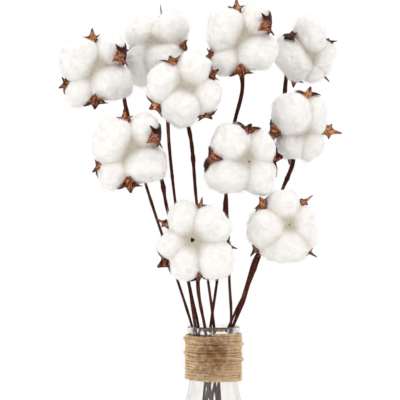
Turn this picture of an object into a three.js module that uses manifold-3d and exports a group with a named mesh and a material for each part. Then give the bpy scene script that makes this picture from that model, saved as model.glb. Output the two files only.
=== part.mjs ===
// Ten dried cotton stems in a glass bottle vase whose neck is wound with jute twine.
// Millimetres, +Z up. The origin is the middle of the vase's flat base and +Y is away from the front.
// Each stem is a twig, the open burr at its top and the white locks of cotton that the burr holds.

import * as THREE from "three";
import { mergeVertices } from "three/addons/utils/BufferGeometryUtils.js";
import Module from "manifold-3d";

const wasm = await Module();
wasm.setup();

// ---- driving dimensions ----

const SEAT_GAP = 0.3; // between two pieces that touch

// the vase
const VASE_HEIGHT = 200;
const BODY_RADIUS = 36;
const BODY_TOP = 92; // where the straight body ends and the long shoulder begins
const NECK_RADIUS = 17.9;
const NECK_BOTTOM = 163;
const LIP_RADIUS = 19.6;
const LIP_HEIGHT = 4.4;
const LIP_BORE = 17.9; // inner radius at the mouth, which flares a little
const WALL = 2;
const FLOOR = 5;
const VASE_SIDES = 22;

// the twine
const TWINE_DIAMETER = 1.9;
const TWINE_PITCH = 2.08; // down the neck for each turn of the first layer
const TWINE_TOP = VASE_HEIGHT - LIP_HEIGHT - 1.3;
const TWINE_TURNS = 16.5; // turns of the first layer
const TWINE_SLACK = 0.1; // so that its flat spans clear the neck
const LAYER_GAP = 0.15;
const CHANGE_OF_LAYER = 0.3; // in turns
// the second layer crosses back up over the first: [turns after the first layer, height above its
// lowest turn]
const CROSSINGS = [
  [0, 0], [0.25, 20.5], [0.5, 18], [0.75, 15], [1, 23], [1.25, 31], [1.5, 28.5], [1.75, 26.5],
  [2, 30],
];
const ALL_TWINE_TURNS = TWINE_TURNS + CROSSINGS.at(-1)[0];
const TWINE_SIDES = 5;
const TWINE_STEPS_PER_TURN = 12;

// the twigs
const TWIG_RADIUS = 1.05; // in the vase and for most of the height
const TWIG_TOP_RADIUS = 1.75; // just under the burr
const TWIG_THICK_SHARE = 0.3; // the top share of the length over which the twig thickens
const TWIG_SIDES = 6;
const TWIG_STEPS = 11;
const STEP_CROWDING = 1.9; // above 1, a twig's steps shorten towards its top
const TWIG_FOOT_Z = FLOOR + 0.6; // middle of the cut end, so that its low edge clears the floor
const TWIG_BEND = 8; // a twig bends towards its boll this far behind the cup,
const TWIG_SAG = 4; // and this far below the boll's axis
const TWIG_LAST_SPAN = 2.5; // it meets the cup squarely over this length

// a lock of cotton, in boll radii
const LOCK_BACK = 0.8; // from its widest level back to its narrow end
const LOCK_FRONT = 0.35; // forward to its front end, and besides
const LOCK_ROUNDNESS = 0.5; // this share of its half breadth
const LOCK_NARROWS = 0.3; // share by which its narrow end is narrower
const LOCK_LEANS_IN = 0.5; // share by which its narrow end is nearer to the boll's axis
const FULLNESS = 2.5; // power of a lock's outline in the face, where 2 would be an ellipse
const LOCK_FACETS = [9, 6];
const FACET_GROWTH = 1.03; // makes up for what the flat faces cut off

// the burr: a cup at the top of the twig and one pointed valve between each two locks
const BURR_BACK = 1.0; // share of the boll's radius from its middle back to the cup's underside
const CUP_RADIUS = 6.2;
const CUP_HEIGHT = 5;
const VALVE_THICKNESS = 1.0;
const SEPTUM_THICKNESS = 1.0; // half way up: it narrows from twice this to its edge
const CLEARANCE = 1.6; // from a valve's corners to the locks, so that its flat faces clear them too
const STEP_OUT = 0.25; // a corner that is in a lock moves out by this much at a time,
const MOST_STEPS = 120;
const NUDGE = 0.02; // for finding the way out
const LEAN_OUT = 0.25; // and leans away from the boll's axis by this share of a step
// [distance out, height, half width, height of the septum], in boll radii, from the cup to the tip
const VALVE = [
  [0.1, -0.88, 0.05, 0],
  [0.5, -0.72, 0.18, 0.08],
  [0.76, -0.4, 0.25, 0.13],
  [0.9, 0.02, 0.28, 0.2],
  [0.96, 0.12, 0.11, 0.1],
  [1.13, 0.26, 0.02, 0],
];

// Locks of cotton as ellipses in the boll's open face: [middle across, middle up, half length, half
// breadth, turn, how far forward], in boll radii and degrees. Three bolls have opened alike: the lock
// low on the right leans out over the others.
const LEANING_LOCKS = [
  [-0.43, 0.29, 0.64, 0.53, 78, 0.02],
  [0.4, 0.55, 0.5, 0.42, 88, -0.05],
  [0.4, -0.31, 0.63, 0.5, 4, 0.12],
  [-0.43, -0.59, 0.41, 0.39, 20, 0],
];

// Each boll: radius of the cotton, middle [x, y, z], turn and nod of its open face in degrees
// (0, 0 looks to the front), its valves, its locks, and the route of its twig: foot, neck and mouth
// [x, y], then points further up [x, y, z]. A valve is [angle, reach, breadth, rise, septum]: the angle
// is in degrees round the face, anticlockwise from the right, the tip rises by this many radii, and
// 1 is the usual reach, breadth and septum.
const BOLLS = [
  {
    name: "01", radius: 28.8, middle: [-88.7, 5, 391.4], turn: 5, nod: -2,
    valves: [[96, 0.98, 0.8, 0.05, 1], [31, 0.74, 1.15, 0.9, 1.4], [-91, 0.88, 1.15, 0.55, 2],
      [-155, 0.94, 0.8, 0.1, 1.1]],
    locks: LEANING_LOCKS,
    foot: [26, 1.6], neck: [-6.4, 1.5], mouth: [-16.2, 2],
    above: [[-27.2, 4.5, 234.5], [-51.7, 15, 308], [-66.5, 28, 364], [-72, 40, 381]],
  },
  {
    name: "02", radius: 27.5, middle: [-41, 35, 409], turn: -18, nod: 16,
    valves: [[91, 1.13, 0.3, 0, 0.6], [3, 0.9, 0.5, 0.4, 0.9], [-95, 0.85, 0.7, -0.1, 1],
      [-178, 0.88, 0.6, -0.05, 1]],
    locks: [[0.31, 0.58, 0.55, 0.52, 60, 0.02], [0.2, -0.34, 0.65, 0.52, 0, 0.03],
      [-0.5, -0.51, 0.63, 0.42, 95, -0.02], [-0.52, 0.47, 0.52, 0.46, 70, -0.02]],
    foot: [20, 7.2], neck: [-5.5, 7.2], mouth: [-11.5, 7.6],
    above: [[-19, 14, 234.5], [-30, 33, 300], [-35, 52, 365]],
  },
  {
    name: "03", radius: 28.5, middle: [-21.9, -25, 376], turn: 4, nod: 0,
    valves: [[114, 0.82, 1.05, 0.3, 1.5], [28, 0.88, 0.9, 0.2, 1], [-49, 0.92, 1, 0.1, 1],
      [-150, 0.93, 1.2, 0.05, 0.5]],
    locks: [[-0.6, 0.18, 0.57, 0.42, 68, 0], [0.23, 0.47, 0.55, 0.47, 78, 0.02],
      [0.58, -0.19, 0.52, 0.43, 70, -0.02], [-0.08, -0.49, 0.55, 0.52, 60, 0.12]],
    foot: [12, -10.4], neck: [3.4, -10.4], mouth: [0.3, -10.3],
    above: [[-4.2, -9.5, 234.5], [-12.6, -7, 292], [-17, -1, 340]],
  },
  {
    name: "04", radius: 28.8, middle: [20.3, 5, 413.8], turn: 5, nod: -2,
    valves: [[98, 0.98, 0.8, 0.05, 1], [32, 0.74, 1.15, 0.9, 1.4], [-91, 0.88, 1.15, 0.55, 2],
      [-153, 0.94, 0.8, 0.1, 1.1]],
    locks: LEANING_LOCKS,
    foot: [-20, 13], neck: [-5.8, 13], mouth: [-2, 13.2],
    above: [[2.9, 15.5, 234.5], [8.5, 20, 290], [15.5, 27, 350], [22.5, 36, 383]],
  },
  {
    name: "05", radius: 26, middle: [68.8, 38, 408], turn: 12, nod: -18,
    valves: [[131, 0.7, 0.75, 0.6, 0.8], [24, 0.93, 0.45, 0, 1], [-45, 1.03, 0.5, 0, 1],
      [-104, 0.92, 1, 0, 1]],
    locks: [[-0.37, -0.14, 0.74, 0.53, -48, 0.12], [0.19, 0.57, 0.63, 0.49, 100, 0],
      [0.58, -0.1, 0.53, 0.4, 80, -0.06], [0.3, -0.55, 0.4, 0.35, 0, -0.02]],
    foot: [-24, 10], neck: [-1.8, 10.1], mouth: [12.2, 10.2],
    above: [[28.5, 17, 234.5], [41, 29, 267], [53.5, 38, 303], [62, 47, 330], [56, 61, 376]],
  },
  {
    name: "06", radius: 29, middle: [-62.2, -30, 329.3], turn: 5, nod: -2,
    valves: [[97, 0.98, 0.8, 0.05, 1], [31, 0.74, 1.15, 0.9, 1.4], [-91, 0.88, 1.15, 0.55, 2],
      [-154, 0.94, 0.8, 0.1, 1.1]],
    locks: LEANING_LOCKS,
    foot: [20, -7.4], neck: [-4.4, -7.4], mouth: [-13.6, -7],
    above: [[-19.2, -6.5, 234.5], [-34.5, -3, 287], [-43, 1.5, 318]],
  },
  {
    name: "07", radius: 28.2, middle: [18.7, -25, 325.8], turn: 16, nod: -8,
    valves: [[181, 0.97, 1.2, 0.4, 2.4], [81, 0.85, 1.2, 0.35, 2], [3, 0.95, 1.8, 0.15, 0.6],
      [-88, 0.7, 0.7, -0.15, 1]],
    locks: [[-0.3, 0.41, 0.57, 0.54, 60, 0.03], [0.5, 0.3, 0.54, 0.45, -60, -0.05],
      [0.52, -0.47, 0.54, 0.5, 70, 0], [-0.38, -0.45, 0.66, 0.5, -8, 0.05]],
    foot: [-8, -4.6], neck: [4.6, -4.6], mouth: [12.8, -4.6],
    above: [[11.8, -4, 234.5], [10.6, -2, 270], [9.6, 0, 292]],
  },
  {
    name: "08", radius: 26, middle: [64, 12, 350], turn: 10, nod: -12,
    valves: [[188, 0.93, 1.15, 0.35, 2.6], [80, 1.12, 1.3, 0.3, 1], [-8, 1.12, 0.8, 0, 0.6],
      [-106, 0.98, 0.8, 0, 1]],
    locks: [[-0.25, 0.41, 0.71, 0.64, -78, 0.12], [0.42, 0.36, 0.69, 0.41, -85, -0.06],
      [0.35, -0.56, 0.5, 0.41, 60, -0.02], [-0.26, -0.56, 0.45, 0.4, 0, 0.06]],
    foot: [-20, 4.4], neck: [2.4, 4.4], mouth: [15, 2.8],
    above: [[22.4, 6.2, 217], [28.8, 11, 238], [32.5, 14.5, 250], [53.2, 27, 303.6], [61.5, 33, 325]],
  },
  {
    name: "09", radius: 29, middle: [-13.3, -45, 264.5], turn: -3, nod: 2,
    valves: [[150, 1.03, 0.4, 0, 1], [82, 0.98, 0.55, 0.1, 1], [-8, 0.95, 0.45, 0, 1],
      [-83, 0.9, 0.85, 0.15, 1.3], [-144, 1, 1.3, 0.1, 0.5]],
    locks: [[-0.29, 0.56, 0.54, 0.42, -85, 0], [0.41, 0.39, 0.56, 0.47, -50, 0.03],
      [0.54, -0.5, 0.53, 0.47, 90, 0.03], [-0.24, -0.52, 0.53, 0.43, 80, 0.04],
      [-0.55, -0.12, 0.43, 0.41, -20, 0]],
    foot: [16, -13.2], neck: [0.2, -13.2], mouth: [-6.5, -13.2],
    above: [[-11.5, -14, 228]],
  },
  {
    name: "10", radius: 28.5, middle: [50.5, -20, 274], turn: 10, nod: 4,
    valves: [[129, 0.9, 0.95, 0.15, 0.6], [50, 0.98, 0.45, 0.1, 1], [-43, 1.03, 0.5, 0, 1],
      [-143, 1.04, 0.55, 0, 1.3]],
    locks: [[-0.45, -0.06, 0.58, 0.55, 0, 0.08], [0.03, 0.56, 0.48, 0.45, 90, 0.02],
      [0.5, -0.05, 0.65, 0.4, -82, -0.02], [0.03, -0.5, 0.7, 0.47, -4, 0.05]],
    foot: [-24, -1.6], neck: [-1, -1.6], mouth: [14.6, -1.6],
    above: [[25.3, -0.5, 232], [31.3, 3, 250]],
  },
];

const COLOURS = {
  glass: 0xe6ebea,
  jute: 0xc9a06b,
  bark: 0x3a1f17,
  burr: 0x7a3f22,
  cotton: 0xf6f3ee,
};

const materials = {
  glass: new THREE.MeshStandardMaterial({
    color: COLOURS.glass, roughness: 0.03, metalness: 0, transparent: true, opacity: 0.35,
  }),
  jute: new THREE.MeshStandardMaterial({ color: COLOURS.jute, roughness: 0.95, metalness: 0 }),
  bark: new THREE.MeshStandardMaterial({ color: COLOURS.bark, roughness: 0.75, metalness: 0 }),
  burr: new THREE.MeshStandardMaterial({ color: COLOURS.burr, roughness: 0.6, metalness: 0 }),
  cotton: new THREE.MeshStandardMaterial({ color: COLOURS.cotton, roughness: 1, metalness: 0 }),
};

// ---- solids ----

// A closed geometry as a solid that can be joined and cut.
function solid(geometry) {
  const bare = geometry.index ? geometry.toNonIndexed() : geometry.clone();
  bare.deleteAttribute("normal");
  bare.deleteAttribute("uv");
  const merged = mergeVertices(bare, 1e-4);
  return new wasm.Manifold(
    new wasm.Mesh({
      numProp: 3,
      vertProperties: new Float32Array(merged.attributes.position.array),
      triVerts: new Uint32Array(merged.index.array),
    }),
  );
}

// A solid as a geometry again, with flat faces.
function geometryOf(made) {
  const mesh = made.getMesh();
  const geometry = new THREE.BufferGeometry();
  const position = new THREE.BufferAttribute(new Float32Array(mesh.vertProperties), 3);
  geometry.setAttribute("position", position);
  geometry.setIndex(new THREE.BufferAttribute(new Uint32Array(mesh.triVerts), 1));
  const faceted = geometry.toNonIndexed();
  faceted.computeVertexNormals();
  return faceted;
}

// Joins overlapping solids, and drops the scraps that don't hang on to the largest body.
function joined(solids) {
  return largest(solids.reduce((all, one) => all.add(one)));
}

function largest(made) {
  const bodies = made.decompose();
  return bodies.reduce((most, body) => (body.volume() > most.volume() ? body : most));
}

// Moves every vertex of a geometry to place(vertex).
function shaped(geometry, place) {
  const position = geometry.attributes.position;
  const vertex = new THREE.Vector3();
  for (let i = 0; i < position.count; i++) {
    place(vertex.fromBufferAttribute(position, i));
    position.setXYZ(i, vertex.x, vertex.y, vertex.z);
  }
  return geometry;
}

function named(name, geometry, material) {
  const mesh = new THREE.Mesh(geometry, material);
  mesh.name = name;
  return mesh;
}

// ---- the vase ----

// Outer and inner profile of the bottle as [radius, height], bottom to mouth.
function vaseGeometry() {
  const mouthCurve = 0.8;
  const outer = [
    [0, 0],
    [BODY_RADIUS - 4, 0],
    [BODY_RADIUS - 1.2, 1.4],
    [BODY_RADIUS, 4.5],
    [BODY_RADIUS, BODY_TOP],
  ];
  const shoulderSteps = 6;
  for (let i = 1; i <= shoulderSteps; i++) {
    outer.push(shoulder(i / shoulderSteps));
  }
  const lipBottom = VASE_HEIGHT - LIP_HEIGHT;
  outer.push(
    [NECK_RADIUS, lipBottom - 1.2],
    [LIP_RADIUS, lipBottom + 0.6],
    [LIP_RADIUS, VASE_HEIGHT - mouthCurve],
    [LIP_RADIUS - mouthCurve, VASE_HEIGHT],
  );
  const inner = [
    [LIP_BORE + 0.3, VASE_HEIGHT],
    [LIP_BORE, VASE_HEIGHT - mouthCurve],
    [NECK_RADIUS - WALL + 0.3, lipBottom - 1],
  ];
  for (let i = shoulderSteps; i >= 0; i--) {
    const [radius, height] = shoulder(i / shoulderSteps);
    inner.push([radius - WALL, height]);
  }
  inner.push(
    [BODY_RADIUS - WALL, FLOOR + 4],
    [BODY_RADIUS - WALL - 4, FLOOR],
    [0, FLOOR],
  );
  const profile = [...outer, ...inner].map(([r, z]) => new THREE.Vector2(r, z));
  return new THREE.LatheGeometry(profile, VASE_SIDES).rotateX(Math.PI / 2);
}

// The shoulder is a half wave of a cosine from the body's radius to the neck's.
function shoulder(share) {
  const swing = (1 + Math.cos(Math.PI * share)) / 2;
  return [
    NECK_RADIUS + (BODY_RADIUS - NECK_RADIUS) * swing,
    BODY_TOP + (NECK_BOTTOM - BODY_TOP) * share,
  ];
}

// ---- the twine ----

// One length of twine: close turns down the neck, then two steeper ones back up over them.
class TwinePath extends THREE.Curve {
  getPoint(t, target = new THREE.Vector3()) {
    const chord = 1 / Math.cos(Math.PI / TWINE_STEPS_PER_TURN); // flat spans cut inside the circle
    const first = (NECK_RADIUS + SEAT_GAP + TWINE_SLACK + TWINE_DIAMETER / 2) * chord;
    const second = first + TWINE_DIAMETER + LAYER_GAP;
    const turn = t * ALL_TWINE_TURNS;
    const back = turn - TWINE_TURNS;
    const radius = THREE.MathUtils.lerp(
      first,
      second,
      THREE.MathUtils.smoothstep(back, 0, CHANGE_OF_LAYER),
    );
    const height = TWINE_TOP - Math.min(turn, TWINE_TURNS) * TWINE_PITCH + crossingHeight(back);
    const angle = -Math.PI / 2 + turn * 2 * Math.PI;
    return target.set(radius * Math.cos(angle), radius * Math.sin(angle), height);
  }
}

// Height of the second layer above the lowest turn, after this many turns of it.
function crossingHeight(back) {
  const after = CROSSINGS.findIndex(([turn]) => turn > back);
  if (after === 0) {
    return 0;
  }
  if (after < 0) {
    return CROSSINGS.at(-1)[1];
  }
  const [turn, height] = CROSSINGS[after - 1];
  const [nextTurn, nextHeight] = CROSSINGS[after];
  return THREE.MathUtils.mapLinear(back, turn, nextTurn, height, nextHeight);
}

function twineGeometry() {
  const section = new THREE.Shape();
  for (let i = 0; i < TWINE_SIDES; i++) {
    const angle = (i / TWINE_SIDES) * 2 * Math.PI;
    const x = (TWINE_DIAMETER / 2) * Math.cos(angle);
    const y = (TWINE_DIAMETER / 2) * Math.sin(angle);
    if (i === 0) section.moveTo(x, y);
    else section.lineTo(x, y);
  }
  section.closePath();
  return new THREE.ExtrudeGeometry(section, {
    steps: Math.round(ALL_TWINE_TURNS * TWINE_STEPS_PER_TURN),
    extrudePath: new TwinePath(),
    bevelEnabled: false,
  });
}

// ---- a boll ----

// Turns a boll's own frame (x right, y up, z out of its open face) to where the boll looks.
function bollFrame(boll) {
  const turn = THREE.MathUtils.degToRad(boll.turn);
  const nod = THREE.MathUtils.degToRad(boll.nod);
  const face = new THREE.Vector3(
    Math.sin(turn) * Math.cos(nod),
    -Math.cos(turn) * Math.cos(nod),
    Math.sin(nod),
  );
  const right = new THREE.Vector3().crossVectors(face, new THREE.Vector3(0, 0, 1)).negate();
  right.normalize();
  const up = new THREE.Vector3().crossVectors(face, right);
  return new THREE.Matrix4()
    .makeBasis(right, up, face)
    .setPosition(new THREE.Vector3(...boll.middle));
}

// A lock of cotton is an egg whose narrow end sits in the cup. At a share of its height, -1 to 1: its
// middle, drawn in towards the boll's axis, and its half length and half breadth.
function lockAt(radius, [across, up, long, broad], share, grow) {
  const low = ((1 - share) / 2) ** 2;
  const narrow = 1 - LOCK_NARROWS * low;
  const inward = radius * (1 - LOCK_LEANS_IN * low);
  return {
    x: across * inward,
    y: up * inward,
    long: (long * radius + grow) * narrow,
    broad: (broad * radius + grow) * narrow,
  };
}

// A lock's height from its widest level to its front or back end.
function lockHeight(radius, [, , long, broad], isFront, grow) {
  const front = LOCK_FRONT + LOCK_ROUNDNESS * Math.sqrt(long * broad);
  return (isFront ? front : LOCK_BACK) * radius + grow;
}

function lockSolid(radius, lock, grow = 0) {
  const [, , , , turn, forward] = lock;
  const angle = THREE.MathUtils.degToRad(turn);
  const egg = shaped(new THREE.SphereGeometry(1, ...LOCK_FACETS), (v) => {
    const { x, y, long, broad } = lockAt(radius, lock, v.z, grow);
    const fuller = (FACET_GROWTH * Math.hypot(v.x, v.y)) / (spread(v.x, v.y) || 1);
    const along = long * v.x * fuller;
    const aside = broad * v.y * fuller;
    v.set(
      x + along * Math.cos(angle) - aside * Math.sin(angle),
      y + along * Math.sin(angle) + aside * Math.cos(angle),
      forward * radius + lockHeight(radius, lock, v.z > 0, grow) * v.z,
    );
  });
  return solid(egg);
}

// How far out in a lock a point is: 0 on its middle line, 1 at CLEARANCE from its surface.
function depthInLock(radius, lock, point) {
  const [, , , , turn, forward] = lock;
  const angle = THREE.MathUtils.degToRad(turn);
  const level = point.z - forward * radius;
  const share = level / lockHeight(radius, lock, level > 0, CLEARANCE);
  const { x, y, long, broad } = lockAt(radius, lock, THREE.MathUtils.clamp(share, -1, 1), CLEARANCE);
  const along = (point.x - x) * Math.cos(angle) + (point.y - y) * Math.sin(angle);
  const aside = (point.y - y) * Math.cos(angle) - (point.x - x) * Math.sin(angle);
  return Math.hypot(spread(along / long, aside / broad), share);
}

// Distance from the middle of a lock's outline, where 1 is on it.
function spread(along, aside) {
  return (Math.abs(along) ** FULLNESS + Math.abs(aside) ** FULLNESS) ** (1 / FULLNESS);
}

// Walks a point out of the locks. Inside a lock it goes the way in which its depth there grows
// fastest, leaning a little away from the axis.
function walkOut(radius, locks, point) {
  for (let steps = 0; steps < MOST_STEPS; steps++) {
    const lock = locks.find((one) => depthInLock(radius, one, point) < 1);
    if (!lock) {
      return;
    }
    const depth = depthInLock(radius, lock, point);
    const slopes = [0, 1, 2].map((axis) => {
      const beside = point.clone();
      beside.setComponent(axis, beside.getComponent(axis) + NUDGE);
      return depthInLock(radius, lock, beside) - depth;
    });
    const outward = new THREE.Vector3(point.x, point.y, 0).setLength(LEAN_OUT);
    const way = new THREE.Vector3(...slopes).normalize().add(outward);
    point.addScaledVector(way, STEP_OUT);
  }
}

// A valve: a pointed plate, widest near its upper end, with a septum that stands up from its
// midline into the crease between two locks. Each row of the plate follows a row of VALVE, and
// where a lock is in the way, the plate lies round it.
function valve(radius, [angle, reach, breadth, rise, fin], locks) {
  const turn = THREE.MathUtils.degToRad(angle);
  const axis = new THREE.Vector3(0, 0, 1);
  const spans = VALVE.length - 1;
  const outs = VALVE.map(([out], row) => out * radius * THREE.MathUtils.lerp(1, reach, row / spans));
  const heights = VALVE.map(([, height], row) => (height + (rise * row) / spans) * radius);
  const halves = VALVE.map(([, , half]) => half * radius * breadth);
  const septa = VALVE.map(([, , , septum]) => septum * radius * fin);
  const plate = shaped(new THREE.BoxGeometry(spans, 4, 1, spans, 4, 1), (v) => {
    const row = Math.round(v.x + spans / 2);
    const before = Math.max(0, row - 1);
    const after = Math.min(spans, row + 1);
    const way = new THREE.Vector2(outs[after] - outs[before], heights[after] - heights[before]);
    way.normalize();
    const column = Math.abs(v.y);
    const across = [0, Math.min(SEPTUM_THICKNESS, halves[row] / 2), halves[row]][column];
    const isInside = v.z > 0;
    const lift = VALVE_THICKNESS / 2 + (isInside && column === 0 ? septa[row] : 0);
    const inward = new THREE.Vector3(-way.y, 0, way.x).applyAxisAngle(axis, turn);
    const place = new THREE.Vector3(outs[row], Math.sign(v.y) * across, heights[row]);
    place.applyAxisAngle(axis, turn).addScaledVector(inward, lift);
    walkOut(radius, locks, place);
    if (!isInside) {
      place.addScaledVector(inward, -VALVE_THICKNESS);
    }
    v.copy(place);
  });
  return solid(plate);
}

// The shallow cup that the valves grow from, turned about the boll's axis.
function cup(radius) {
  const bottom = -BURR_BACK * radius;
  const collar = 0.6;
  const dome = 0.5;
  const sides = 8;
  const profile = [
    [0, bottom],
    [TWIG_TOP_RADIUS + collar, bottom],
    [CUP_RADIUS, bottom + CUP_HEIGHT / 2],
    [CUP_RADIUS, bottom + CUP_HEIGHT],
    [0, bottom + CUP_HEIGHT + dome],
  ];
  const points = profile.map(([r, z]) => new THREE.Vector2(r, z));
  return solid(new THREE.LatheGeometry(points, sides).rotateX(Math.PI / 2));
}

function bollGroup(boll) {
  const group = new THREE.Group();
  const { radius, valves, locks } = boll;
  const cotton = joined(locks.map((one) => lockSolid(radius, one)));
  const room = joined(locks.map((one) => lockSolid(radius, one, SEAT_GAP)));
  const grown = joined([cup(radius), ...valves.map((one) => valve(radius, one, locks))]);
  const burr = largest(grown.subtract(room));
  group.add(
    named(`cotton_${boll.name}`, geometryOf(cotton), materials.cotton),
    named(`burr_${boll.name}`, geometryOf(burr), materials.burr),
  );
  bollFrame(boll).decompose(group.position, group.quaternion, group.scale);
  return group;
}

// ---- a twig ----

// A round bar along a curve that never runs along X. The steps crowd towards its far end, where it
// bends most, and its radius follows the share of the length.
function bar(curve, radiusAt, sides, steps) {
  const across = new THREE.Vector3(1, 0, 0);
  return shaped(new THREE.CylinderGeometry(1, 1, 1, sides, steps), (v) => {
    const share = 1 - (0.5 - v.y) ** STEP_CROWDING;
    const radius = radiusAt(share);
    const way = curve.getTangentAt(share);
    const right = across.clone().addScaledVector(way, -way.x).normalize();
    const front = new THREE.Vector3().crossVectors(right, way);
    const side = right.multiplyScalar(v.x * radius);
    v.copy(curve.getPointAt(share).addScaledVector(front, v.z * radius)).add(side);
  });
}

// From the vase's floor, through the neck and the mouth, up to the underside of the burr's cup.
function twigMesh(boll) {
  const frame = bollFrame(boll);
  const behind = (distance) => new THREE.Vector3(0, 0, -distance).applyMatrix4(frame);
  const end = BURR_BACK * boll.radius + SEAT_GAP;
  const bend = behind(end + TWIG_BEND).add(new THREE.Vector3(0, 0, -TWIG_SAG));
  const route = new THREE.CatmullRomCurve3(
    [
      new THREE.Vector3(...boll.foot, TWIG_FOOT_Z),
      new THREE.Vector3(...boll.neck, NECK_BOTTOM),
      new THREE.Vector3(...boll.mouth, VASE_HEIGHT),
      ...boll.above.map((point) => new THREE.Vector3(...point)),
      bend,
      behind(end + TWIG_LAST_SPAN),
      behind(end),
    ],
    false,
    "centripetal",
  );
  const radiusAt = (share) => {
    const thick = THREE.MathUtils.smoothstep(share, 1 - TWIG_THICK_SHARE, 1);
    return THREE.MathUtils.lerp(TWIG_RADIUS, TWIG_TOP_RADIUS, thick);
  };
  const geometry = bar(route, radiusAt, TWIG_SIDES, TWIG_STEPS);
  return named(`twig_${boll.name}`, geometry, materials.bark);
}

// ---- the whole bunch ----

const bunch = new THREE.Group();
bunch.add(named("vase", vaseGeometry(), materials.glass));
bunch.add(named("twine", twineGeometry(), materials.jute));
for (const boll of BOLLS) {
  bunch.add(twigMesh(boll), bollGroup(boll));
}

export default bunch;
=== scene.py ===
"""Ten dried cotton stems in a clear glass bottle vase whose neck is wound with jute twine.

Shapes are worked out in millimetres and put into the meshes in metres. +Z is up, -Y is the front
and the origin is the middle of the vase's flat base, as in the solids that these pieces stand for.
"""

import math
from typing import NamedTuple

import bpy
import numpy as np
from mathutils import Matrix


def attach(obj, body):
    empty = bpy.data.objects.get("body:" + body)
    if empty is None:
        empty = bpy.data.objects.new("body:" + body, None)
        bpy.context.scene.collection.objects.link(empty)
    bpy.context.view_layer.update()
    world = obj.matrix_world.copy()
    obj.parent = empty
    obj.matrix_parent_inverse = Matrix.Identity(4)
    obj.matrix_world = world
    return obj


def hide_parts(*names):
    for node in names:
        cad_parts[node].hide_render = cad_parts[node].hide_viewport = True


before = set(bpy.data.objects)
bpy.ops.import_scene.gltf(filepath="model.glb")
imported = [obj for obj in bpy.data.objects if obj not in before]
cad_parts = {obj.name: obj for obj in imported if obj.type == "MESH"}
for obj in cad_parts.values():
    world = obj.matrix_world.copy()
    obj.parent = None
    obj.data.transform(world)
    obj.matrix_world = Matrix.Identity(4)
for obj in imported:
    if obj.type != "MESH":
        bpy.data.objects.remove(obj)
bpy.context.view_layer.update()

MM = 0.001

# ---- sizes, in millimetres, as in the solids ----

SEAT_GAP = 0.3  # left between pieces that sit on each other

VASE_HEIGHT = 200
BODY_RADIUS = 36
BODY_TOP = 92
NECK_RADIUS = 17.9
NECK_BOTTOM = 163
LIP_RADIUS = 19.6
LIP_HEIGHT = 4.4
LIP_BORE = 17.9
WALL = 2
FLOOR = 5

TWINE_DIAMETER = 1.9
TWINE_PITCH = 2.08
TWINE_TOP = VASE_HEIGHT - LIP_HEIGHT - 1.3
TWINE_TURNS = 16.5
TWINE_SLACK = 0.1
TWINE_STEPS_PER_TURN = 12  # of the solid, whose flat spans stay clear of the neck
CHANGE_OF_LAYER = 0.3  # in turns
# (turns after the first layer, height above its lowest turn)
CROSSINGS = (
    (0, 0), (0.25, 20.5), (0.5, 18), (0.75, 15), (1, 23), (1.25, 31), (1.5, 28.5), (1.75, 26.5),
    (2, 30),
)

TWIG_RADIUS = 1.05
TWIG_TOP_RADIUS = 1.75
TWIG_THICK_SHARE = 0.3
TWIG_FOOT_Z = FLOOR + 0.6
TWIG_BEND = 8  # a twig bends towards its boll this far behind the cup,
TWIG_SAG = 4  # and this far below the boll's axis
TWIG_LAST_SPAN = 2.5

BURR_BACK = 1.0  # from a boll's middle back to the underside of its cup, in radii
CUP_RADIUS = 6.2
CUP_HEIGHT = 5
VALVE_THICKNESS = 1.0
# [share of the way from the cup to the tip, distance out, height, half width, height of the
# septum], the last four in boll radii
VALVE = np.array([
    [0, 0.1, -0.88, 0.05, 0],
    [0.2, 0.5, -0.72, 0.18, 0.08],
    [0.4, 0.76, -0.4, 0.24, 0.13],
    [0.53, 0.86, -0.1, 0.18, 0.17],
    [0.6, 0.9, 0.02, 0.32, 0.2],
    [0.66, 0.92, 0.05, 0.14, 0.17],
    [0.8, 0.96, 0.12, 0.085, 0.1],
    [1, 1.13, 0.26, 0.02, 0],
])


class Boll(NamedTuple):
    """Lengths inside a boll are in radii of it, angles in degrees. turn and nod aim its open face.
    A valve is (angle, reach, breadth, rise of its tip, septum, tone): reach, breadth and septum
    are shares of what VALVE says, and a tone goes from 0, dull, to 1, fresh. A lock of cotton is
    (across, up, half length, half breadth, turn, forward). The core, where it shows, is (across,
    up, forward, half width in mm). foot, neck, mouth and above are the route of the twig."""

    name: str
    radius: float
    middle: tuple
    turn: float
    nod: float
    valves: tuple
    locks: tuple
    core: tuple
    foot: tuple
    neck: tuple
    mouth: tuple
    above: tuple


# three bolls have opened alike: the lock low on the right leans out over the others
LEANING_LOCKS = (
    (-0.43, 0.29, 0.64, 0.53, 78, 0.02), (0.4, 0.55, 0.5, 0.42, 88, -0.05),
    (0.4, -0.31, 0.63, 0.5, 4, 0.12), (-0.43, -0.59, 0.41, 0.39, 20, 0),
)


def leaning_valves(top, right, left):
    """Valves of such a boll, three of them at angles of its own."""
    return (
        (top, 0.98, 0.8, 0.05, 1, 0.8), (right, 0.74, 1.15, 0.9, 1.4, 0.3),
        (-91, 0.88, 1.15, 0.55, 2, 0.15), (left, 0.94, 0.8, 0.1, 1.1, 0.4),
    )


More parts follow.
